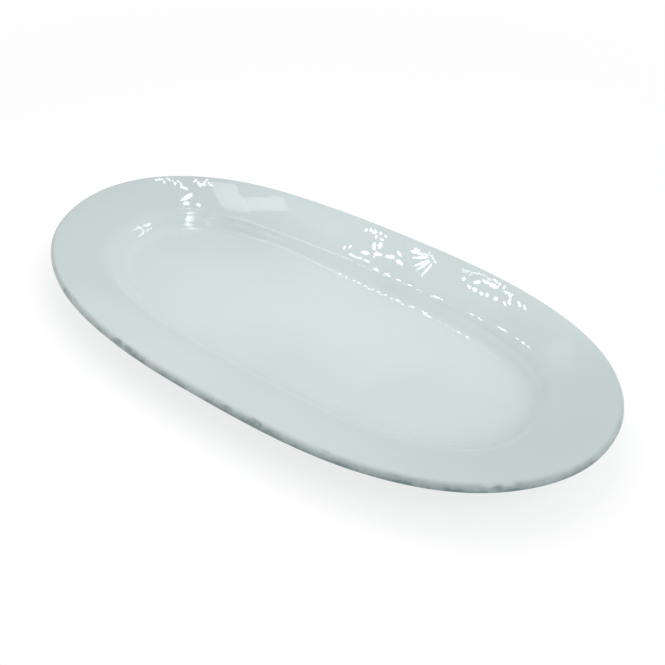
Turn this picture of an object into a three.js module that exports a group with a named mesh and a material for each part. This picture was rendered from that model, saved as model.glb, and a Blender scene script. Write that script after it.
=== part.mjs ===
// Oval serving platter: one fired clay body under two fused coats of glaze, which the bare foot parts.
// Millimetres, +Z up. The origin is the centre of the foot's bearing face, and +X runs along the platter.
import * as THREE from 'three';

// Oval, measured over the glaze
const LENGTH = 356;
const WIDTH = 178;
const LIP_LONG_POWER = 2.72; // well above 2, so the long sides run straighter than an ellipse's
const LIP_CROSS_POWER = 2.07; // close to 2, so the ends stay nearly round
const WELL_LONG_POWER = 3.2; // the well is squarer than the lip in both ways
const WELL_CROSS_POWER = 2.5;

// Flange and lip
const FLANGE_SIDE = 32.8; // from the lip's edge in to the crest of the shoulder, across a long side
const FLANGE_END = 36.2; // the same at an end
const LIP_RISE_SIDE = 12.1; // the lip's middle above the well, half way along a long side
const LIP_RISE_END = 15.8; // the same at an end, where the lip sweeps up
const LIP_ROUND = 2.5;
const LIP_FLAT = 0.4; // between the lip's upper and lower rounding

// Shoulder and well
const SHOULDER_RUN = 9.5;
const SHOULDER_RISE_SIDE = 6;
const SHOULDER_RISE_END = 9.2;
const SHOULDER_THICKNESS = 6;
const CREST_ROUND = 14;
const WELL_ROUND = 17;
const FLOOR_THICKNESS = 6;

// Underside and foot ring
const HAUNCH_ROUND = 10; // hollow where the flange's underside turns down
const FOOT_HEIGHT = 3.2;
const FOOT_WIDTH = 6;
const FOOT_REACH = 4; // the foot's outer wall outside the well's edge
const FOOT_ROUND = 0.6;
const FOOT_FILLET = 2.5; // hollow where the underside meets the foot's outer wall
const BASE_FILLET = 1.3; // hollow where the base meets the foot's inner wall

// Glaze
const GLAZE = 0.4;
const BARE_BAND = 0.9; // wiped clean of glaze, up each wall of the foot

// Fineness of the curves
const TURNS = 72;
const ROUND_STEPS = 4;

// The point where two lines cross, each given by a point and its angle
function crossing(first, firstAngle, second, secondAngle) {
  const direction = new THREE.Vector2(Math.cos(firstAngle), Math.sin(firstAngle));
  const other = new THREE.Vector2(Math.cos(secondAngle), Math.sin(secondAngle));
  const distance = second.clone().sub(first).cross(other) / direction.cross(other);
  return direction.multiplyScalar(distance).add(first);
}

// Corners of the clay's half section in three runs, as [distance from the middle, height, rounding]:
// from the well's middle over the lip to the foot's outer wall, round the foot, and on to the base's middle
function claySection(halfSize, flange, lipRise, shoulderRise) {
  const floorTop = FOOT_HEIGHT + FLOOR_THICKNESS;
  const crest = new THREE.Vector2(halfSize - flange, floorTop + shoulderRise);
  const wellEdge = new THREE.Vector2(crest.x - SHOULDER_RUN, floorTop);
  const footOuter = wellEdge.x + FOOT_REACH;
  const footInner = footOuter - FOOT_WIDTH;

  // The flange's upper face runs from the crest to touch the upper rounding of the lip
  const lip = new THREE.Vector2(halfSize - LIP_ROUND, floorTop + lipRise);
  const span = lip.clone().sub(crest);
  const lipTop = LIP_ROUND + LIP_FLAT;
  const flangeAngle = Math.atan2(span.y, span.x) + Math.asin(lipTop / span.length());
  const out = new THREE.Vector2(Math.cos(flangeAngle), Math.sin(flangeAngle));
  const up = new THREE.Vector2(-out.y, out.x);
  const lipEdge = lip.clone().addScaledVector(out, LIP_ROUND);
  const lipUpper = lipEdge.clone().addScaledVector(up, lipTop);
  const lipLower = lipEdge.clone().addScaledVector(up, -LIP_ROUND);

  // The underside follows the flange and the shoulder, then turns down the foot's outer wall
  const shoulderAngle = Math.atan2(shoulderRise, SHOULDER_RUN);
  const through = new THREE.Vector2(Math.sin(shoulderAngle), -Math.cos(shoulderAngle));
  const shoulderUnder = wellEdge.clone().addScaledVector(through, SHOULDER_THICKNESS);
  const haunch = crossing(lipLower, flangeAngle, shoulderUnder, shoulderAngle);
  const footTop = crossing(shoulderUnder, shoulderAngle, new THREE.Vector2(footOuter, 0), Math.PI / 2);

  return {
    upper: [
      [0, floorTop, 0],
      [wellEdge.x, wellEdge.y, WELL_ROUND],
      [crest.x, crest.y, CREST_ROUND],
      [lipUpper.x, lipUpper.y, LIP_ROUND],
      [lipLower.x, lipLower.y, LIP_ROUND],
      [haunch.x, haunch.y, HAUNCH_ROUND],
      [footTop.x, footTop.y, FOOT_FILLET],
      [footOuter, BARE_BAND, 0],
    ],
    foot: [
      [footOuter, BARE_BAND, 0],
      [footOuter, 0, FOOT_ROUND],
      [footInner, 0, FOOT_ROUND],
      [footInner, BARE_BAND, 0],
    ],
    base: [
      [footInner, BARE_BAND, 0],
      [footInner, FOOT_HEIGHT, BASE_FILLET],
      [0, FOOT_HEIGHT, 0],
    ],
  };
}

// Corners of the glaze's face, over a run of clay corners
function glazed(corners) {
  const normals = corners.slice(1).map(([x, y], i) => {
    return new THREE.Vector2(corners[i][1] - y, x - corners[i][0]).normalize();
  });
  return corners.map(([x, y, round], i) => {
    const before = normals[Math.max(i - 1, 0)];
    const after = normals[Math.min(i, normals.length - 1)];
    const shift = GLAZE / (1 + before.dot(after));
    const bulge = Math.sign(after.cross(before)); // 1 on an outward corner and -1 in a hollow
    return [x + shift * (before.x + after.x), y + shift * (before.y + after.y), round + bulge * GLAZE];
  });
}

// The points of a run, with each corner turned into an arc that is tangent to both of its sides
function rounded(corners) {
  return corners.flatMap(([x, y, round], i) => {
    const corner = new THREE.Vector2(x, y);
    if (i === 0 || i === corners.length - 1) {
      return [corner];
    }
    const back = new THREE.Vector2(...corners[i - 1]).sub(corner).normalize();
    const ahead = new THREE.Vector2(...corners[i + 1]).sub(corner).normalize();
    const half = Math.acos(back.dot(ahead)) / 2;
    const centre = back.clone().add(ahead).setLength(round / Math.sin(half)).add(corner);
    const from = back.clone().multiplyScalar(round / Math.tan(half)).add(corner).sub(centre);
    const to = ahead.clone().multiplyScalar(round / Math.tan(half)).add(corner).sub(centre);
    const clockwise = ahead.cross(back) < 0;
    const arc = new THREE.EllipseCurve(centre.x, centre.y, round, round, from.angle(), to.angle(), clockwise);
    return arc.getPoints(ROUND_STEPS);
  });
}

function signedPower(value, power) {
  return Math.sign(value) * Math.abs(value) ** power;
}

// A closed skin carried round the oval, from a side section to an end section and back.
// Both sections start and end on the platter's middle line, and have their points in step.
// Each panel folds along its shorter diagonal, so skins that share their points lie against each other.
function sweep(side, end) {
  const rows = side.length;
  const points = [];
  for (let turn = 0; turn < TURNS; turn++) {
    const angle = (2 * Math.PI * turn) / TURNS;
    for (let row = 0; row < rows; row++) {
      const outward = THREE.MathUtils.clamp((side[row].x - WIDTH / 2) / FLANGE_SIDE + 1, 0, 1);
      const longPower = THREE.MathUtils.lerp(WELL_LONG_POWER, LIP_LONG_POWER, outward);
      const crossPower = THREE.MathUtils.lerp(WELL_CROSS_POWER, LIP_CROSS_POWER, outward);
      const along = signedPower(Math.cos(angle), 2 / longPower);
      const across = signedPower(Math.sin(angle), 2 / crossPower);
      const height = THREE.MathUtils.lerp(side[row].y, end[row].y, along * along);
      points.push(new THREE.Vector3(end[row].x * along, side[row].x * across, height));
    }
  }
  const indices = [];
  for (let turn = 0; turn < TURNS; turn++) {
    const next = (turn + 1) % TURNS;
    for (let row = 0; row < rows - 1; row++) {
      const near = turn * rows + row;
      const far = next * rows + row;
      if (row === 0) {
        indices.push(near, near + 1, far + 1);
      } else if (row === rows - 2) {
        indices.push(near, near + 1, far);
      } else if (points[near].distanceTo(points[far + 1]) < points[near + 1].distanceTo(points[far])) {
        indices.push(near, near + 1, far + 1);
        indices.push(near, far + 1, far);
      } else {
        indices.push(near, near + 1, far);
        indices.push(near + 1, far + 1, far);
      }
    }
  }
  const geometry = new THREE.BufferGeometry().setFromPoints(points);
  geometry.setIndex(indices);
  geometry.computeVertexNormals();
  return geometry;
}

const side = claySection(WIDTH / 2 - GLAZE, FLANGE_SIDE, LIP_RISE_SIDE, SHOULDER_RISE_SIDE);
const end = claySection(LENGTH / 2 - GLAZE, FLANGE_END, LIP_RISE_END, SHOULDER_RISE_END);

function clayProfile({ upper, foot, base }) {
  return [...rounded(upper), ...rounded(foot).slice(1, -1), ...rounded(base)];
}

function coatProfile({ upper }) {
  return [...rounded(glazed(upper)), ...rounded(upper).reverse()];
}

function baseProfile({ base }) {
  return [...rounded(base).reverse(), ...rounded(glazed(base))];
}

const clay = new THREE.MeshStandardMaterial({ color: 0xd9d0c1, roughness: 0.85 });
const glaze = new THREE.MeshStandardMaterial({ color: 0xd0dddd, roughness: 0.08 });

function piece(name, profile, material) {
  const mesh = new THREE.Mesh(sweep(profile(side), profile(end)), material);
  mesh.name = name;
  return mesh;
}

const platter = new THREE.Group();
platter.add(piece('clay_body', clayProfile, clay));
platter.add(piece('glaze_coat', coatProfile, glaze));
platter.add(piece('base_glaze', baseProfile, glaze));

export default platter;
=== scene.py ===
import math
import random

import bpy
import numpy as np
from mathutils import Matrix, Vector
from mathutils.bvhtree import BVHTree
from mathutils.interpolate import poly_3d_calc


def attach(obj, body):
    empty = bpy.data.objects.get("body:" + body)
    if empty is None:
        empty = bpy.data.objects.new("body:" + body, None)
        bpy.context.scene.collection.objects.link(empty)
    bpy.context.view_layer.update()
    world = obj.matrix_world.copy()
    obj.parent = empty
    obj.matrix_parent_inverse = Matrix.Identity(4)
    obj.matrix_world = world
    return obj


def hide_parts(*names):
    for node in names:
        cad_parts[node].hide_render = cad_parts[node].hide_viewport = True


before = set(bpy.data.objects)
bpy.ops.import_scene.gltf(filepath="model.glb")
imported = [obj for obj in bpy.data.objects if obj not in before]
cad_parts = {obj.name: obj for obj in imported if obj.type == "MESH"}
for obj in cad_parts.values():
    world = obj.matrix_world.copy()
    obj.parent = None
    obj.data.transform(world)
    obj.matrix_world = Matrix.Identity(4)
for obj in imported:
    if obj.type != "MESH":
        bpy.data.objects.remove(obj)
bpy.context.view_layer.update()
print("frame loaded:", ", ".join(sorted(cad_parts)))

mm = 0.001


def linear(hexColour):  # an sRGB hex colour as linear RGBA
    shares = [int(hexColour[i:i + 2], 16) / 255 for i in (1, 3, 5)]
    return [c / 12.92 if c <= 0.04045 else ((c + 0.055) / 1.055) ** 2.4 for c in shares] + [1.0]


def scaleFor(size):  # a pattern's scale from the size of its features in mm
    return 1 / (size * mm)


def addNode(tree, kind, inputs, **settings):  # inputs: socket name or number, to a value or an output
    node = tree.nodes.new("ShaderNode" + kind)
    for name, value in settings.items():
        setattr(node, name, value)
    for socket, value in inputs.items():
        if isinstance(value, bpy.types.NodeSocket):
            tree.links.new(value, node.inputs[socket])
        else:
            node.inputs[socket].default_value = value
    return node


def newMaterial(name):
    material = bpy.data.materials.new(name)
    material.use_nodes = True
    material.node_tree.nodes.clear()
    return material, material.node_tree


# The oval and the sections across a long side and along an end, in mm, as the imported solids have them
# but for a slight crown on the flange
platter = {
    "width": 178.0,
    "length": 356.0,
    "lipPowers": (2.72, 2.07),  # along and across: sides straighter than an ellipse's, ends nearly round
    "wellPowers": (3.2, 2.5),  # the well is squarer than the lip
    "flange": (32.8, 36.2),  # side, end: from the lip's edge in to the crest of the shoulder
    "flangeCrown": 0.25,  # the flange's upper face rises this much at its middle before it is rounded
    "flangeRound": 660.0,
    "lipRise": (12.1, 15.8),  # the lip's middle above the well
    "lipRound": 2.5,
    "lipFlat": 0.4,
    "shoulderRun": 9.5,
    "shoulderRise": (6.0, 9.2),
    "shoulderThickness": 6.0,
    "crestRound": 14.0,
    "wellRound": 17.0,
    "floorThickness": 6.0,
    "haunchRound": 10.0,  # hollow where the flange's underside turns down
    "footHeight": 3.2,
    "footWidth": 6.0,
    "footReach": 4.0,  # the foot's outer wall outside the well's edge
    "footRound": 0.6,
    "footFillet": 2.5,
    "baseFillet": 1.3,
    "glaze": 0.4,
    "bareBand": 0.9,  # wiped clean of glaze, up each wall of the foot
    "turns": 320,  # points round the oval, before those that the lip's marks add
    "fineTurns": 40000,  # for measuring along the lip
    "sharpAngle": 50.0,  # degrees, above which an edge stays sharp, as where the glaze ends at the foot
}

# Hand finish: the fired clay's slight warp, as waves of (height, length, heading, start) in mm and degrees
warp = {
    "waves": [(0.055, 128, 15, 40), (0.045, 92, 78, 200), (0.030, 66, 133, 95), (0.018, 47, 48, 310)],
    "lipWaves": [(0.16, 5, 20), (0.10, 8, 140), (0.06, 13, 255)],  # the outline's: mm, count round, start
    "footEnds": 3.3,  # the warp starts above this height, so the foot stands flat
    "fullAt": 9.0,
    "lipFrom": 14.0,  # the outline's waves start above this height
    "lipFull": 22.0,
}

# Knocks on the near edge of the lip, in mm: x along it, reach and depth, and roll round the lip in degrees,
# from outermost to top. A scuffed one is pale and matt, a stained one has taken up dirt.
lipMarks = [
    {"x": -111.0, "roll": 34, "reach": 2.8, "depth": 0.12, "scuff": 0.0, "stain": 0.6},
    {"x": -101.5, "roll": 52, "reach": 2.2, "depth": 0.40, "scuff": 0.8, "stain": 0.1},
    {"x": -57.5, "roll": 34, "reach": 2.6, "depth": 0.12, "scuff": 0.0, "stain": 0.62},
    {"x": -49.0, "roll": 40, "reach": 2.0, "depth": 0.25, "scuff": 0.0, "stain": 0.6},
    {"x": 21.0, "roll": 42, "reach": 1.8, "depth": 0.12, "scuff": 0.0, "stain": 0.45},
    {"x": 38.0, "roll": 40, "reach": 2.7, "depth": 0.12, "scuff": 0.0, "stain": 0.62},
    {"x": 77.0, "roll": 66, "reach": 1.5, "depth": 0.20, "scuff": 0.4, "stain": 0.2},
    {"x": 146.0, "roll": 72, "reach": 1.9, "depth": 0.40, "scuff": 0.9, "stain": 0.0},
    {"x": 148.6, "roll": 30, "reach": 1.6, "depth": 0.50, "scuff": 0.0, "stain": 0.8},
    {"x": 152.3, "roll": 70, "reach": 1.9, "depth": 0.35, "scuff": 0.9, "stain": 0.0},
]
markShape = {
    "step": 0.8,  # mm between the extra points across a mark
    "stretch": 2.3,  # along the lip
    "scuffDip": (0.15, 0.6),  # shares of the depth, between which the scuff comes in
    "stainDip": (0.0, 0.5),
}


def crossing(first, firstAngle, second, secondAngle):
    along = Vector((math.cos(firstAngle), math.sin(firstAngle)))
    other = Vector((math.cos(secondAngle), math.sin(secondAngle)))
    return first + along * ((second - first).cross(other) / along.cross(other))


def lipMiddle(way):  # the centre of the lip's rounding, 0 across a long side and 1 along an end
    half = (platter["width"], platter["length"])[way] / 2 - platter["glaze"]
    floorTop = platter["footHeight"] + platter["floorThickness"]
    return Vector((half - platter["lipRound"], floorTop + platter["lipRise"][way]))


# Corners of the clay's half section: point, rounding, steps round the corner, steps on the run up to it
def claySection(way):
    p = platter
    half = (p["width"], p["length"])[way] / 2 - p["glaze"]
    floorTop = p["footHeight"] + p["floorThickness"]
    crest = Vector((half - p["flange"][way], floorTop + p["shoulderRise"][way]))
    wellEdge = Vector((crest.x - p["shoulderRun"], floorTop))
    footOuter = wellEdge.x + p["footReach"]
    footInner = footOuter - p["footWidth"]

    lip = lipMiddle(way)
    lipTop = p["lipRound"] + p["lipFlat"]
    span = lip - crest
    flangeAngle = math.atan2(span.y, span.x) + math.asin(lipTop / span.length)
    out = Vector((math.cos(flangeAngle), math.sin(flangeAngle)))
    up = Vector((-out.y, out.x))
    lipEdge = lip + out * p["lipRound"]
    lipUpper = lipEdge + up * lipTop
    lipLower = lipEdge - up * p["lipRound"]
    flangeTop = (crest + lipUpper) / 2 + up * p["flangeCrown"]

    shoulderAngle = math.atan2(p["shoulderRise"][way], p["shoulderRun"])
    through = Vector((math.sin(shoulderAngle), -math.cos(shoulderAngle)))
    shoulderUnder = wellEdge + through * p["shoulderThickness"]
    haunch = crossing(lipLower, flangeAngle, shoulderUnder, shoulderAngle)
    footTop = crossing(shoulderUnder, shoulderAngle, Vector((footOuter, 0)), math.pi / 2)
    return {
        "upper": [
            (Vector((0, floorTop)), 0, 0, 0),
            (wellEdge, p["wellRound"], 12, 9),
            (crest, p["crestRound"], 12, 2),
            (flangeTop, p["flangeRound"], 12, 1),
            (lipUpper, p["lipRound"], 8, 1),
            (lipLower, p["lipRound"], 9, 1),
            (haunch, p["haunchRound"], 6, 5),
            (footTop, p["footFillet"], 4, 2),
            (Vector((footOuter, p["bareBand"])), 0, 0, 1),
        ],
        "foot": [
            (Vector((footOuter, p["bareBand"])), 0, 0, 0),
            (Vector((footOuter, 0)), p["footRound"], 4, 1),
            (Vector((footInner, 0)), p["footRound"], 4, 2),
            (Vector((footInner, p["bareBand"])), 0, 0, 1),
        ],
        "base": [
            (Vector((footInner, p["bareBand"])), 0, 0, 0),
            (Vector((footInner, p["footHeight"])), p["baseFillet"], 5, 1),
            (Vector((0, p["footHeight"])), 0, 0, 6),
        ],
    }


sections = [claySection(0), claySection(1)]


def hidden(corners):  # the same run with fewer steps, for faces that the glaze covers
    return [(point, rounding, (arc + 1) // 2, (run + 1) // 2) for point, rounding, arc, run in corners]


def glazed(corners):  # the glaze's face over a run of clay corners
    steps = [(b[0] - a[0]).normalized() for a, b in zip(corners, corners[1:])]
    normals = [Vector((-s.y, s.x)) for s in steps]
    face = []
    for i, (point, rounding, arcSteps, runSteps) in enumerate(corners):
        before, after = normals[max(i - 1, 0)], normals[min(i, len(normals) - 1)]
        bulge = math.copysign(1, after.cross(before))  # 1 on an outward corner, -1 in a hollow
        shift = (before + after) * (platter["glaze"] / (1 + before.dot(after)))
        face.append((point + shift, rounding + bulge * platter["glaze"], arcSteps, runSteps))
    return face


def roundedRun(corners):  # the run's points, with each corner an arc that touches both of its sides
    points = []
    for i, (point, rounding, arcSteps, runSteps) in enumerate(corners):
        arc = [point]
        if 0 < i < len(corners) - 1:
            back = (corners[i - 1][0] - point).normalized()
            ahead = (corners[i + 1][0] - point).normalized()
            half = back.angle(ahead) / 2
            centre = point + (back + ahead).normalized() * (rounding / math.sin(half))
            start = point + back * (rounding / math.tan(half)) - centre
            sweepAngle = math.copysign(math.pi - 2 * half, back.cross(ahead))
            arc = []
            for k in range(arcSteps + 1):
                turn = -sweepAngle * k / arcSteps
                c, s = math.cos(turn), math.sin(turn)
                arc.append(centre + Vector((start.x * c - start.y * s, start.x * s + start.y * c)))
        if points:
            last = points[-1]
            points += [last.lerp(arc[0], k / runSteps) for k in range(1, runSteps)]
        points += arc
    return points


def signedPower(value, power):
    return np.sign(value) * np.abs(value) ** power


def sweep(side, end, angles):  # points in mm, turn by row
    side, end = np.array(side), np.array(end)
    outward = np.clip((side[:, 0] - platter["width"] / 2) / platter["flange"][0] + 1, 0, 1)
    well, lip = platter["wellPowers"], platter["lipPowers"]
    along = signedPower(np.cos(angles)[:, None], 2 / (well[0] + (lip[0] - well[0]) * outward))
    across = signedPower(np.sin(angles)[:, None], 2 / (well[1] + (lip[1] - well[1]) * outward))
    height = side[:, 1] + (end[:, 1] - side[:, 1]) * along ** 2
    return np.stack([end[:, 0] * along, side[:, 0] * across, height], axis=-1)


# The lip's middle line in fine steps, its length so far, and the way out from it in plan
fineAngles = np.linspace(0, 2 * np.pi, platter["fineTurns"] + 1)
lipLine = sweep([lipMiddle(0)], [lipMiddle(1)], fineAngles)[:, 0]
lipRun = np.concatenate([[0], np.cumsum(np.hypot(*np.diff(lipLine[:, :2], axis=0).T))])
lipStep = np.gradient(lipLine[:, :2], axis=0)
lipOut = np.stack([lipStep[:, 1], -lipStep[:, 0]], axis=-1) / np.hypot(*lipStep.T)[:, None]

for mark in lipMarks:
    near = np.nonzero(lipLine[:, 1] < 0)[0]
    at = near[np.argmin(np.abs(lipLine[near, 0] - mark["x"]))]
    roll = math.radians(mark["roll"])
    mark["facing"] = np.array([*(lipOut[at] * math.cos(roll)), math.sin(roll)])
    mark["centre"] = lipLine[at] + mark["facing"] * (platter["lipRound"] + platter["glaze"])
    mark["along"] = np.array([-lipOut[at][1], lipOut[at][0], 0])
    mark["run"] = lipRun[at]

# Even steps along the lip, and finer ones across each mark
runs = list(np.arange(platter["turns"]) / platter["turns"] * lipRun[-1])
for mark in lipMarks:
    reach = mark["reach"] * markShape["stretch"]
    count = math.ceil(reach / markShape["step"])
    runs += [mark["run"] + k * reach / count for k in range(-count, count + 1)]
runs = sorted(runs)
closest = markShape["step"] / 3
runs = [r for r, following in zip(runs, runs[1:] + [lipRun[-1]]) if following - r > closest]
angles = np.interp(runs, lipRun, fineAngles)
print("turns round the oval:", len(angles))


def smooth(value, start, full):
    t = np.clip((value - start) / (full - start), 0, 1)
    return t * t * (3 - 2 * t)


def handFinish(points):  # warps and knocks the points, and says how far each is scuffed or stained
    angle = np.arctan2(points[..., 1] * (platter["length"] / platter["width"]), points[..., 0])
    raised = smooth(points[..., 2], warp["footEnds"], warp["fullAt"])
    lift = np.zeros(points.shape[:-1])
    for height, length, heading, start in warp["waves"]:
        h = math.radians(heading)
        across = points[..., 0] * math.cos(h) + points[..., 1] * math.sin(h)
        lift += height * np.sin(across * 2 * math.pi / length + math.radians(start))
    spread = np.zeros(points.shape[:-1])
    for reach, count, start in warp["lipWaves"]:
        spread += reach * np.sin(angle * count + math.radians(start))
    finished = points.copy()
    finished[..., 2] += lift * raised
    spread *= smooth(points[..., 2], warp["lipFrom"], warp["lipFull"])
    finished[..., 0] += spread * np.cos(angle)
    finished[..., 1] += spread * np.sin(angle)
    scuff = np.zeros(points.shape[:-1])
    stain = np.zeros(points.shape[:-1])
    for mark in lipMarks:
        offset = points - mark["centre"]
        offset -= (offset @ mark["along"])[..., None] * mark["along"] * (1 - 1 / markShape["stretch"])
        away = np.linalg.norm(offset, axis=-1) / mark["reach"]
        dip = np.clip(1 - away ** 2, 0, 1) ** 2
        finished -= dip[..., None] * mark["facing"] * mark["depth"]
        scuff = np.maximum(scuff, mark["scuff"] * smooth(dip, *markShape["scuffDip"]))
        stain = np.maximum(stain, mark["stain"] * smooth(dip, *markShape["stainDip"]))
    return finished, scuff, stain


def runFromLip(points):  # mm along a run from the lip's outermost point: more than 0 on the upper face
    steps = [0] + [(b - a).length for a, b in zip(points, points[1:])]
    along = np.cumsum(steps)
    return along[int(np.argmax([p.x for p in points]))] - along


def addSkin(name, profile, fromLip):  # a closed skin, whose profile starts and ends on the middle line
    points, scuff, stain = handFinish(sweep(profile(sections[0]), profile(sections[1]), angles))
    turns, rows = points.shape[:2]

    def inOrder(values):  # one value for each vertex: the first pole, turn by turn, the last pole
        return np.concatenate([values[:1, 0], values[:, 1:-1].reshape(-1, *values.shape[2:]), values[:1, -1]])

    vertices = inOrder(points) * mm
    near = 1 + np.arange(turns)[:, None] * (rows - 2) + np.arange(rows - 2)
    far = np.roll(near, -1, axis=0)
    last = len(vertices) - 1
    faces = [(0, int(a), int(b)) for a, b in zip(near[:, 0], far[:, 0])]
    panels = np.stack([near[:, :-1], near[:, 1:], far[:, 1:], far[:, :-1]], axis=-1).reshape(-1, 4)
    faces += panels.tolist()
    faces += [(int(a), last, int(b)) for a, b in zip(near[:, -1], far[:, -1])]
    mesh = bpy.data.meshes.new(name)
    mesh.from_pydata(vertices.tolist(), [], faces)
    mesh.update()
    mesh.shade_smooth()
    mesh.set_sharp_from_angle(angle=math.radians(platter["sharpAngle"]))
    marks = {"fromLip": np.broadcast_to(fromLip, points.shape[:2]), "scuff": scuff, "stain": stain}
    for label, values in marks.items():
        attribute = mesh.attributes.new(label, "FLOAT", "POINT")
        attribute.data.foreach_set("value", inOrder(values).astype(np.float32))
    piece = bpy.data.objects.new(name, mesh)
    bpy.context.scene.collection.objects.link(piece)
    return piece


def clayProfile(s):
    return roundedRun(hidden(s["upper"])) + roundedRun(s["foot"])[1:-1] + roundedRun(hidden(s["base"]))


def coatProfile(s):
    return roundedRun(glazed(s["upper"])) + roundedRun(hidden(s["upper"]))[::-1]


def baseProfile(s):
    return roundedRun(hidden(s["base"]))[::-1] + roundedRun(glazed(s["base"]))


coatFace = runFromLip(roundedRun(glazed(sections[0]["upper"])))
coatBack = runFromLip(roundedRun(hidden(sections[0]["upper"])))[::-1]
farFromLip = -200.0  # for skins that don't reach the lip

# Opaque white glaze with a blue-green cast, dipped and fired glossy: a pale, wet-looking skin that is a
# little deeper where it pools, and thin and greyer where it draws back from the lip. Painted into its tones
# are light on the long sides and in the well, and shade in the crease round the well, on the lip's top and
# under the lip
glazeLook = {
    "flange": "#d3dfe0",
    "sides": "#dae5e6",  # painted light: paler along the long sides
    "sidesAcross": (42 * mm, 72 * mm),
    "sidesAlong": (-135 * mm, -65 * mm),  # fading out towards the left end
    # painted light: the well is paler than the flange, as it is lit brighter
    "well": "#dee9ea",
    "wellRun": (33.0, 42.0),  # this and the other runs are mm from the lip's outermost point
    "drift": "#cfdcdb",  # slow change of tone, from the dip
    "driftSize": 95,  # this and the other sizes and gaps are mm
    "driftShare": 0.6,
    # glaze pooled where the well turns up, painted darker also as the shade in that crease
    "poolAndCreaseShade": "#c6d6d6",
    "poolAt": 43.0,  # mm from the lip, where the well turns up
    "poolRun": (6.0, 0.0),  # mm to either side of that
    "poolShare": 0.12,
    # thin glaze at the lip, painted greyer also as the shade where the lip's top turns from the light
    "thin": "#b2bebc",
    "thinRun": (3.8, 0.8),
    "thinShare": 0.55,
    "lipUnderShade": "#7f9d9e",  # painted shade on the lip's outer face, under its rounding
    "lipUnderShadeRun": (1.5, -1.4),
    "below": "#d3dfe0",  # the underside, as the flange
    "belowRun": (-2.4, -5.2),
    "wander": 2.2,  # mm to either side, of these edges along the lip
    "wanderSize": 14,
    "scuff": "#dde6e5",
    "scuffRoughness": 0.5,
    "stain": "#6c8785",
    "stainSize": 2.6,
    "stainShare": (0.3, 0.85),
    "speck": "#a3a69e",
    "speckGap": 26,
    "speckEdge": (0.022, 0.008),  # shares of the gap
    "speckRarity": 0.55,  # the share of places that have none
    "speckShare": 0.5,
    "roughness": (0.012, 0.026),
    "ior": 1.5,
    "rippleSize": 7,
    "rippleHeight": 0.0015,  # mm
}


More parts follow.
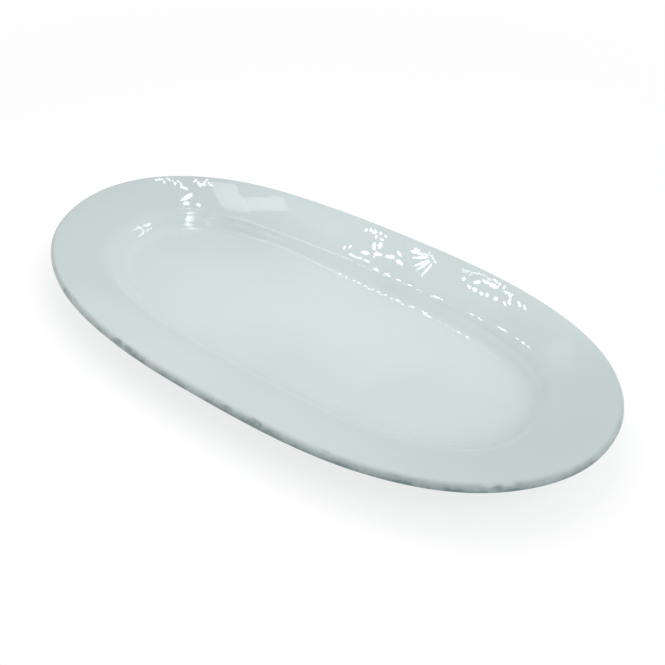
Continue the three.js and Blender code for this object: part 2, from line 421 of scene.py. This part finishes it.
def glossyGlaze():
    look = glazeLook
    material, tree = newMaterial("whiteGlazeFiredGlossy")
    place = addNode(tree, "TexCoord", {}).outputs["Object"]
    fromLip = addNode(tree, "Attribute", {}, attribute_name="fromLip").outputs["Fac"]
    scuff = addNode(tree, "Attribute", {}, attribute_name="scuff").outputs["Fac"]
    stain = addNode(tree, "Attribute", {}, attribute_name="stain").outputs["Fac"]

    # What each tone goes by: the place, the hollow where the glaze pools and shade is painted, and the lip
    # with its uneven edge
    spot = addNode(tree, "SeparateXYZ", {0: place})
    across = addNode(tree, "Math", {0: spot.outputs["Y"]}, operation="ABSOLUTE")
    fromHollow = addNode(tree, "Math", {0: fromLip, 1: look["poolAt"]}, operation="SUBTRACT")
    fromHollow = addNode(tree, "Math", {0: fromHollow.outputs[0]}, operation="ABSOLUTE")
    uneven = addNode(tree, "TexNoise", {
        "Vector": place, "Scale": scaleFor(look["wanderSize"]), "Detail": 6.0, "Roughness": 0.66})
    wander = addNode(tree, "MapRange", {
        "Value": uneven.outputs["Fac"], 1: 0.3, 2: 0.7, 3: -look["wander"], 4: look["wander"]})
    edge = addNode(tree, "Math", {0: fromLip, 1: wander.outputs[0]}, operation="ADD")
    spans = {  # value, where the tone starts and is full, its full share
        "across": (across.outputs[0], look["sidesAcross"], 1.0),
        "along": (spot.outputs["X"], look["sidesAlong"], 1.0),
        "well": (fromLip, look["wellRun"], 1.0),
        "poolAndCreaseShade": (fromHollow.outputs[0], look["poolRun"], look["poolShare"]),
        "thin": (edge.outputs[0], look["thinRun"], look["thinShare"]),
        "lipUnderShade": (edge.outputs[0], look["lipUnderShadeRun"], 1.0),
        "below": (edge.outputs[0], look["belowRun"], 1.0),
    }
    shares = {"scuff": scuff}
    for name, (value, span, share) in spans.items():
        shares[name] = addNode(tree, "MapRange", {
            "Value": value, 1: span[0], 2: span[1], 4: share}, interpolation_type="SMOOTHSTEP").outputs[0]
    shares["sides"] = addNode(tree, "Math", {
        0: shares["across"], 1: shares["along"]}, operation="MULTIPLY").outputs[0]
    broad = addNode(tree, "TexNoise", {"Vector": place, "Scale": scaleFor(look["driftSize"]), "Detail": 2.0})
    shares["drift"] = addNode(tree, "MapRange", {
        "Value": broad.outputs["Fac"], 1: 0.45, 2: 0.75, 4: look["driftShare"]}).outputs[0]

    # Stains are broken up, and a few specks of iron lie under the glaze
    blots = addNode(tree, "TexNoise", {"Vector": place, "Scale": scaleFor(look["stainSize"]), "Detail": 2.0})
    paler, darker = look["stainShare"]
    blots = addNode(tree, "MapRange", {
        "Value": blots.outputs["Fac"], 1: 0.32, 2: 0.62, 3: paler, 4: darker})
    shares["stain"] = addNode(tree, "Math", {0: stain, 1: blots.outputs[0]}, operation="MULTIPLY").outputs[0]
    cells = addNode(tree, "TexVoronoi", {"Vector": place, "Scale": scaleFor(look["speckGap"])})
    rim, core = look["speckEdge"]
    dot = addNode(tree, "MapRange", {"Value": cells.outputs["Distance"], 1: rim, 2: core})
    chosen = addNode(tree, "SeparateColor", {0: cells.outputs["Color"]})
    chosen = addNode(tree, "Math", {0: chosen.outputs[0], 1: look["speckRarity"]}, operation="GREATER_THAN")
    speck = addNode(tree, "Math", {0: dot.outputs[0], 1: chosen.outputs[0]}, operation="MULTIPLY")
    shares["speck"] = addNode(tree, "Math", {
        0: speck.outputs[0], 1: look["speckShare"]}, operation="MULTIPLY").outputs[0]

    # Each tone goes over those before it. The paler sides and well are painted light, and the crease, the
    # lip's top and its under side painted shade
    tone = linear(look["flange"])
    for name in ("sides", "well", "drift", "poolAndCreaseShade", "thin", "lipUnderShade", "below", "scuff", "stain", "speck"):
        tone = addNode(tree, "Mix", {
            0: shares[name], 6: tone, 7: linear(look[name])}, data_type="RGBA").outputs[2]

    # Scuffs are matt, the rest is glass with a faint ripple
    smoother, rougher = look["roughness"]
    rough = addNode(tree, "MapRange", {
        "Value": uneven.outputs["Fac"], 1: 0.3, 2: 0.7, 3: smoother, 4: rougher})
    rough = addNode(tree, "Math", {
        0: scuff, 1: look["scuffRoughness"], 2: rough.outputs[0]}, operation="MULTIPLY_ADD")
    ripple = addNode(tree, "TexNoise", {
        "Vector": place, "Scale": scaleFor(look["rippleSize"]), "Detail": 1.0})
    bump = addNode(tree, "Bump", {
        "Height": ripple.outputs["Fac"], "Strength": 1.0, "Distance": look["rippleHeight"] * mm})
    shader = addNode(tree, "BsdfPrincipled", {
        "Base Color": tone, "Roughness": rough.outputs[0], "IOR": look["ior"], "Normal": bump.outputs[0]})
    addNode(tree, "OutputMaterial", {"Surface": shader.outputs["BSDF"]})
    return material


# Fine white stoneware, fired bare on the kiln shelf: matt and chalky, with fine grain and a little scorch
clayLook = {
    "body": "#ddd5c7",
    "grain": "#c9bda9",
    "grainSize": 0.9,  # sizes and height in mm
    "grainHeight": 0.05,
    "scorch": "#c7ab8a",
    "scorchSize": 30,
    "scorchShare": 0.6,
    "roughness": 0.85,
    "ior": 1.5,
}


def bareClay():
    look = clayLook
    material, tree = newMaterial("stonewareFiredBare")
    place = addNode(tree, "TexCoord", {}).outputs["Object"]
    grain = addNode(tree, "TexNoise", {"Vector": place, "Scale": scaleFor(look["grainSize"]), "Detail": 3.0})
    grained = addNode(tree, "MapRange", {"Value": grain.outputs["Fac"], 1: 0.45, 2: 0.7})
    tone = addNode(tree, "Mix", {
        0: grained.outputs[0], 6: linear(look["body"]), 7: linear(look["grain"])}, data_type="RGBA")
    patches = addNode(tree, "TexNoise", {
        "Vector": place, "Scale": scaleFor(look["scorchSize"]), "Detail": 2.0})
    scorched = addNode(tree, "MapRange", {
        "Value": patches.outputs["Fac"], 1: 0.5, 2: 0.75, 4: look["scorchShare"]})
    tone = addNode(tree, "Mix", {
        0: scorched.outputs[0], 6: tone.outputs[2], 7: linear(look["scorch"])}, data_type="RGBA")
    bump = addNode(tree, "Bump", {
        "Height": grain.outputs["Fac"], "Strength": 0.6, "Distance": look["grainHeight"] * mm})
    shader = addNode(tree, "BsdfPrincipled", {
        "Base Color": tone.outputs[2], "Roughness": look["roughness"], "IOR": look["ior"],
        "Normal": bump.outputs[0]})
    addNode(tree, "OutputMaterial", {"Surface": shader.outputs["BSDF"]})
    return material


glaze = glossyGlaze()
clay = bareClay()
print("glaze and clay mixed")
made = [
    ("clayBody", "clay_body", "fired_clay", clayProfile, farFromLip, clay),
    ("glazeCoat", "glaze_coat", "glaze", coatProfile, np.concatenate([coatFace, coatBack]), glaze),
    ("baseGlaze", "base_glaze", "glaze", baseProfile, farFromLip, glaze),
]
for name, node, slot, profile, fromLip, material in made:
    piece = addSkin(name, profile, fromLip)
    piece.data.materials.append(material)
    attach(piece, "root")
    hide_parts(node)
    print("made", name, len(piece.data.polygons), "faces")

# Camera, mm and degrees
view = {"place": (257.2, -311.2, 331.8), "azimuth": 37.66, "elevation": 39.19, "lens": 50.0, "sensor": 36.0}
camera = bpy.data.objects.new("camera", bpy.data.cameras.new("camera"))
camera.data.lens = view["lens"]
camera.data.sensor_width = view["sensor"]
camera.data.sensor_fit = "HORIZONTAL"
camera.location = Vector(view["place"]) * mm
camera.rotation_euler = (math.radians(90 - view["elevation"]), 0, math.radians(view["azimuth"]))
bpy.context.scene.collection.objects.link(camera)
bpy.context.scene.camera = camera
print("camera placed")

# Studio: an even tent of soft light, a soft lamp low over the well and a box to the right
bpy.context.scene.view_settings.view_transform = "Standard"
studio = {
    "tent": (0.482, 0.708),  # in front and behind
    "wall": 1.0,  # what the glaze mirrors at the level of the floor
    "overhead": 0.32,  # and overhead
    "wallTop": 0.2,  # sine of the angle up, at which the wall has faded into that
    "lamps": [  # name, place in mm, breadth and depth in mm, watts
        ("wellLamp", (-5, 16, 262), (340, 210), 0.25),
        ("rightBox", (1000, -150, 1300), (700, 700), 2.8),
    ],
}
world = bpy.data.worlds.new("studioTent")
bpy.context.scene.world = world
world.use_nodes = True
tree = world.node_tree
tree.nodes.clear()
rays = addNode(tree, "LightPath", {}).outputs
mirror = addNode(tree, "Math", {
    0: rays["Is Glossy Ray"], 1: rays["Is Transmission Ray"]}, operation="MAXIMUM")
way = addNode(tree, "SeparateXYZ", {0: addNode(tree, "TexCoord", {}).outputs["Generated"]}).outputs
front, behind = studio["tent"]
tent = addNode(tree, "MapRange", {"Value": way["Y"], 1: -1.0, 2: 1.0, 3: front, 4: behind})
wall = addNode(tree, "MapRange", {
    "Value": way["Z"], 1: 0.0, 2: studio["wallTop"], 3: studio["wall"], 4: studio["overhead"]},
    interpolation_type="SMOOTHSTEP")
glow = addNode(tree, "Mix", {0: mirror.outputs[0], 2: tent.outputs[0], 3: wall.outputs[0]})
glow = addNode(tree, "Mix", {0: rays["Is Camera Ray"], 2: glow.outputs[0], 3: 1.0})
back = addNode(tree, "Background", {"Color": linear("#ffffff"), "Strength": glow.outputs[0]})
addNode(tree, "OutputWorld", {"Surface": back.outputs[0]})

for name, place, size, watts in studio["lamps"]:
    lamp = bpy.data.lights.new(name, "AREA")
    lamp.shape = "ELLIPSE"
    lamp.size, lamp.size_y = size[0] * mm, size[1] * mm
    lamp.energy = watts
    holder = bpy.data.objects.new(name, lamp)
    holder.location = Vector(place) * mm
    holder.rotation_euler = Vector(place).to_track_quat("Z", "Y").to_euler()
    holder.visible_camera = False
    holder.visible_glossy = False
    bpy.context.scene.collection.objects.link(holder)

# White paper floor. It shows white, and keeps the platter's shadow
paper = {
    "reach": 3.0,  # metres from the middle
    "bounce": "#aabbbb",  # as it lights the platter
    "face": "#a0a0a0",  # as it is seen, under an even white
    "lift": 0.74,
    "fadeFrom": 0.30,  # metres, from where it fades to plain white
    "fadeTo": 0.75,
}
floorMesh = bpy.data.meshes.new("floor")
reach = paper["reach"]
floorMesh.from_pydata(
    [(-reach, -reach, 0), (reach, -reach, 0), (reach, reach, 0), (-reach, reach, 0)], [], [(0, 1, 2, 3)])
floor = bpy.data.objects.new("floor", floorMesh)
bpy.context.scene.collection.objects.link(floor)
floorMaterial, tree = newMaterial("whitePaper")
rays = addNode(tree, "LightPath", {}).outputs
seen = addNode(tree, "Math", {0: rays["Is Camera Ray"], 1: rays["Is Glossy Ray"]}, operation="MAXIMUM")
seen = addNode(tree, "Math", {0: seen.outputs[0], 1: rays["Is Transmission Ray"]}, operation="MAXIMUM")
away = addNode(tree, "VectorMath", {0: addNode(tree, "TexCoord", {}).outputs["Object"]}, operation="LENGTH")
fade = addNode(tree, "MapRange", {
    "Value": away.outputs["Value"], 1: paper["fadeFrom"], 2: paper["fadeTo"]},
    interpolation_type="SMOOTHSTEP")
face = addNode(tree, "BsdfDiffuse", {"Color": linear(paper["face"])})
lift = addNode(tree, "Emission", {"Color": linear("#ffffff"), "Strength": paper["lift"]})
lifted = addNode(tree, "AddShader", {0: face.outputs[0], 1: lift.outputs[0]})
white = addNode(tree, "Emission", {"Color": linear("#ffffff"), "Strength": 1.0})
shown = addNode(tree, "MixShader", {0: fade.outputs[0], 1: lifted.outputs[0], 2: white.outputs[0]})
bounce = addNode(tree, "BsdfDiffuse", {"Color": linear(paper["bounce"])})
surface = addNode(tree, "MixShader", {0: seen.outputs[0], 1: bounce.outputs[0], 2: shown.outputs[0]})
addNode(tree, "OutputMaterial", {"Surface": surface.outputs[0]})
floorMesh.materials.append(floorMaterial)
print("studio set")

# Glints. Each is drawn where it lies in the view, in pixels, and comes from a small lamp with a narrow beam,
# which hangs over the glaze where the glaze mirrors that place. These lamps are set to add no diffuse light.
glints = {
    "viewSize": 665,  # pixels across
    "seed": 7,
    "reach": 100.0,  # mm from the glaze to the lamps
    "beam": 16.0,  # degrees
    "stray": 0.2,  # along a row, as a share of its step
    "longer": 0.2,  # shares of a stroke's length and breadth, by which it may differ
    "broader": 0.15,
    "glow": {  # where the white wall is 1
        "bright": 9.0, "thin": 14.0, "dim": 4.2, "line": 2.4,
        "soft": 1.1, "pale": 2.3, "faint": 0.7, "trace": 0.35,
    },
    "square": ("pale", "trace"),  # the others are ellipses
}
# Rows of strokes: path, half spread, count, length, breadth, turn from the path, its scatter, glow
strokeRows = {
    "lipLeft": ([(155, 182), (170, 181), (182, 183)], 2.8, 10, 3.4, 1.9, 0, 60, "bright"),
    "lipRight": ([(193, 184), (212, 183)], 3.6, 9, 3.6, 2.0, 20, 70, "bright"),
    "streakNeck": ([(179, 186), (189, 190)], 0.0, 1, 9.0, 2.6, 0, 0, "bright"),
    "streakHead": ([(181, 201), (194, 193)], 0.0, 1, 14.0, 5.0, 0, 0, "bright"),
    "streakBody": ([(185, 202), (190, 210)], 0.4, 2, 7.0, 4.2, -48, 6, "bright"),
    "streakSide": ([(196, 204), (201, 206)], 0.0, 1, 5.0, 3.4, 0, 0, "bright"),
    "streakFoot": ([(189, 212), (189, 229)], 0.6, 9, 7.5, 2.4, 90, 12, "dim"),
    "streakToe": ([(188, 228), (198, 229)], 0.0, 1, 10.0, 2.8, 0, 0, "dim"),
    "hookUpper": ([(136, 228), (152, 224.5)], 0.3, 3, 6.0, 1.2, 0, 4, "bright"),
    "hookLower": ([(152, 228), (142, 235)], 0.3, 3, 4.0, 1.2, 0, 6, "bright"),
    "midTop": ([(366, 229), (375, 234), (387, 238)], 3.6, 8, 3.6, 2.5, 40, 40, "bright"),
    "midPair": ([(372, 247), (383, 245)], 0.4, 2, 7.0, 3.8, 110, 10, "bright"),
    "midLeft": ([(341, 248), (354, 247)], 0.6, 2, 6.0, 2.4, 130, 16, "bright"),
    "midRow": ([(358, 251), (376, 255), (392, 257), (405, 266)], 1.2, 4, 9.0, 3.6, 0, 10, "bright"),
    "midCross": ([(374, 257.5), (377, 251.5)], 0.0, 1, 7.0, 2.4, 0, 0, "bright"),
    "midSlant": ([(397, 251), (402, 257)], 0.0, 1, 7.5, 2.6, 0, 0, "bright"),
    "midFar": ([(409, 253), (421, 249)], 0.6, 2, 5.5, 3.0, 25, 12, "bright"),
    "midDots": ([(429, 252), (432, 257), (436, 263)], 0.2, 5, 2.6, 2.0, 0, 20, "bright"),
    "midNear": ([(348, 254), (372, 263)], 0.4, 3, 6.0, 2.4, 3, 6, "bright"),
    "rightTop": ([(463, 268.5), (471, 271.5), (484, 276), (492, 281.5)], 1.0, 8, 4.5, 2.4, 10, 40, "dim"),
    "rightArc": ([(474, 283), (482, 281), (498, 286)], 0.3, 3, 9.0, 3.2, 0, 6, "bright"),
    "rightMid": ([(493, 279), (501, 284)], 0.8, 3, 4.0, 2.6, 60, 30, "bright"),
    "rightHook": (
        [(504, 286), (505, 292), (510, 294), (510, 303), (503, 304)], 0.4, 7, 4.6, 2.4, 70, 40, "bright"),
    "rightRow": ([(463, 276), (468, 286), (483, 294), (499, 300)], 0.6, 6, 4.6, 3.8, 0, 30, "bright"),
    "rightEnd": ([(518, 303), (526, 309)], 0.2, 2, 7.0, 2.8, 30, 6, "bright"),
    "crestLeft": ([(371, 268), (393, 277.7), (414, 287)], 0.2, 4, 6.0, 1.5, 0, 5, "thin"),
    "crestDash": ([(431, 294.7), (444, 300.5)], 0.0, 1, 12.0, 1.6, 0, 0, "thin"),
    "crestMid": ([(467, 312), (486, 322)], 0.2, 2, 6.0, 1.5, 0, 5, "thin"),
    "crestRight": ([(497, 326), (507, 332)], 0.0, 1, 13.0, 1.9, 0, 0, "bright"),
    "crestEnd": ([(513, 336), (531, 348.5)], 0.2, 3, 4.6, 2.0, 0, 8, "bright"),
    "filletLeft": ([(338, 273), (350, 279), (388, 296)], 0.2, 8, 3.0, 1.5, 0, 6, "bright"),
    "filletMid": ([(390, 297), (412, 307), (432, 316)], 0.2, 3, 5.5, 2.0, 0, 6, "bright"),
    "filletRight": ([(436, 319), (470, 340), (500, 360)], 0.1, 9, 5.0, 1.8, 0, 3, "line"),
    "crestLine": (
        [(206, 219), (226, 216), (245, 220), (298, 239.5), (352, 260)], 0.0, 13, 15.0, 1.6, 0, 0, "line"),
    "filletLine": (
        [(206, 224), (226, 230), (262, 241), (298, 256), (338, 272)], 0.0, 12, 15.0, 1.5, 0, 0, "soft"),
    "paleUpper": ([(242, 197), (217, 197)], 0.0, 1, 25.0, 27.0, 0, 0, "pale"),
    "paleLower": ([(244, 204), (287, 204)], 0.0, 1, 42.0, 13.0, 0, 0, "pale"),
    "paleRight": ([(289, 208), (343, 232)], 0.0, 1, 58.0, 20.0, 0, 0, "trace"),
    "paleEnd": ([(546, 343), (570, 361)], 0.0, 1, 34.0, 30.0, 0, 0, "faint"),
}
# Strokes that spread from a hub
strokeFan = {"hub": (438, 257), "headings": (131, 149, 160, 178, 190), "reach": (9, 26), "breadth": 2.6}

glazeMesh = bpy.data.objects["glazeCoat"].data
glazeFaces = BVHTree.FromPolygons(
    [v.co for v in glazeMesh.vertices], [list(p.vertices) for p in glazeMesh.polygons])


def glance(place):  # where the eye meets the glaze at a place in the view, and the way it is mirrored
    u, v = (c / glints["viewSize"] - 0.5 for c in place)
    spread = view["sensor"] / view["lens"]
    aim = (camera.rotation_euler.to_matrix() @ Vector((u * spread, -v * spread, -1))).normalized()
    struck = glazeFaces.ray_cast(camera.location, aim)
    hit, face = struck[0], struck[2]
    corners = [glazeMesh.vertices[i] for i in glazeMesh.polygons[face].vertices]
    shares = poly_3d_calc([c.co for c in corners], hit)
    normal = sum((c.normal * s for c, s in zip(corners, shares)), Vector()).normalized()
    return hit, aim.reflect(normal)


def mirrored(place):
    hit, away = glance(place)
    return hit + away * glints["reach"] * mm


def heading(degrees):
    return Vector((math.cos(math.radians(degrees)), math.sin(math.radians(degrees))))


def addBeam(name, middle, length, breadth, degrees, glow):  # a lamp that shows as one stroke in the view
    halves = heading(degrees) * length / 2, heading(degrees + 90) * breadth / 2
    spans = np.array([mirrored(middle + h) - mirrored(middle - h) for h in halves]).T
    back = np.array(glance(middle)[1])
    spans -= np.outer(back, back @ spans)
    lamp = bpy.data.lights.new(name, "AREA")
    if glow in glints["square"]:
        lamp.shape = "RECTANGLE"
        axes, sheared = np.linalg.qr(spans)
        sizes = np.abs(np.diag(sheared))
        area = sizes[0] * sizes[1]
    else:
        lamp.shape = "ELLIPSE"
        axes, sizes = np.linalg.svd(spans, full_matrices=False)[:2]
        area = sizes[0] * sizes[1] * math.pi / 4
    lamp.size, lamp.size_y = sizes
    lamp.spread = math.radians(glints["beam"])
    # A narrow beam renders brighter by about 3 / tan(half)^2, which this takes out
    lamp.energy = glints["glow"][glow] * math.pi * area * math.tan(lamp.spread / 2) ** 2 / 3
    holder = bpy.data.objects.new(name, lamp)
    turn = Matrix(np.stack([axes[:, 0], np.cross(back, axes[:, 0]), back], axis=1))
    holder.matrix_world = Matrix.Translation(mirrored(middle)) @ turn.to_4x4()
    holder.visible_camera = False
    holder.visible_diffuse = False
    bpy.context.scene.collection.objects.link(holder)


draw = random.Random(glints["seed"])
for name, (path, spread, count, length, breadth, turn, scatter, glow) in strokeRows.items():
    path = [Vector(p) for p in path]
    spans = [(b - a).length for a, b in zip(path, path[1:])]
    loose = 1 if scatter else 0  # a row without scatter keeps its places and sizes
    for k in range(count):
        left = (k + 0.5 + draw.uniform(-1, 1) * glints["stray"] * loose) / count * sum(spans)
        i = 0
        while i < len(spans) - 1 and left > spans[i]:
            left -= spans[i]
            i += 1
        along = (path[i + 1] - path[i]).normalized()
        middle = path[i] + along * left + along.orthogonal() * draw.uniform(-1, 1) * spread
        degrees = math.degrees(math.atan2(along.y, along.x)) + turn + draw.uniform(-1, 1) * scatter
        longer = 1 + draw.uniform(-1, 1) * glints["longer"] * loose
        broader = 1 + draw.uniform(-1, 1) * glints["broader"] * loose
        addBeam("%s%d" % (name, k), middle, length * longer, breadth * broader, degrees, glow)
near, far = strokeFan["reach"]
for k, degrees in enumerate(strokeFan["headings"]):
    middle = Vector(strokeFan["hub"]) + heading(degrees) * (near + far) / 2
    addBeam("fan%d" % k, middle, far - near, strokeFan["breadth"], degrees, "bright")
print("glints hung")
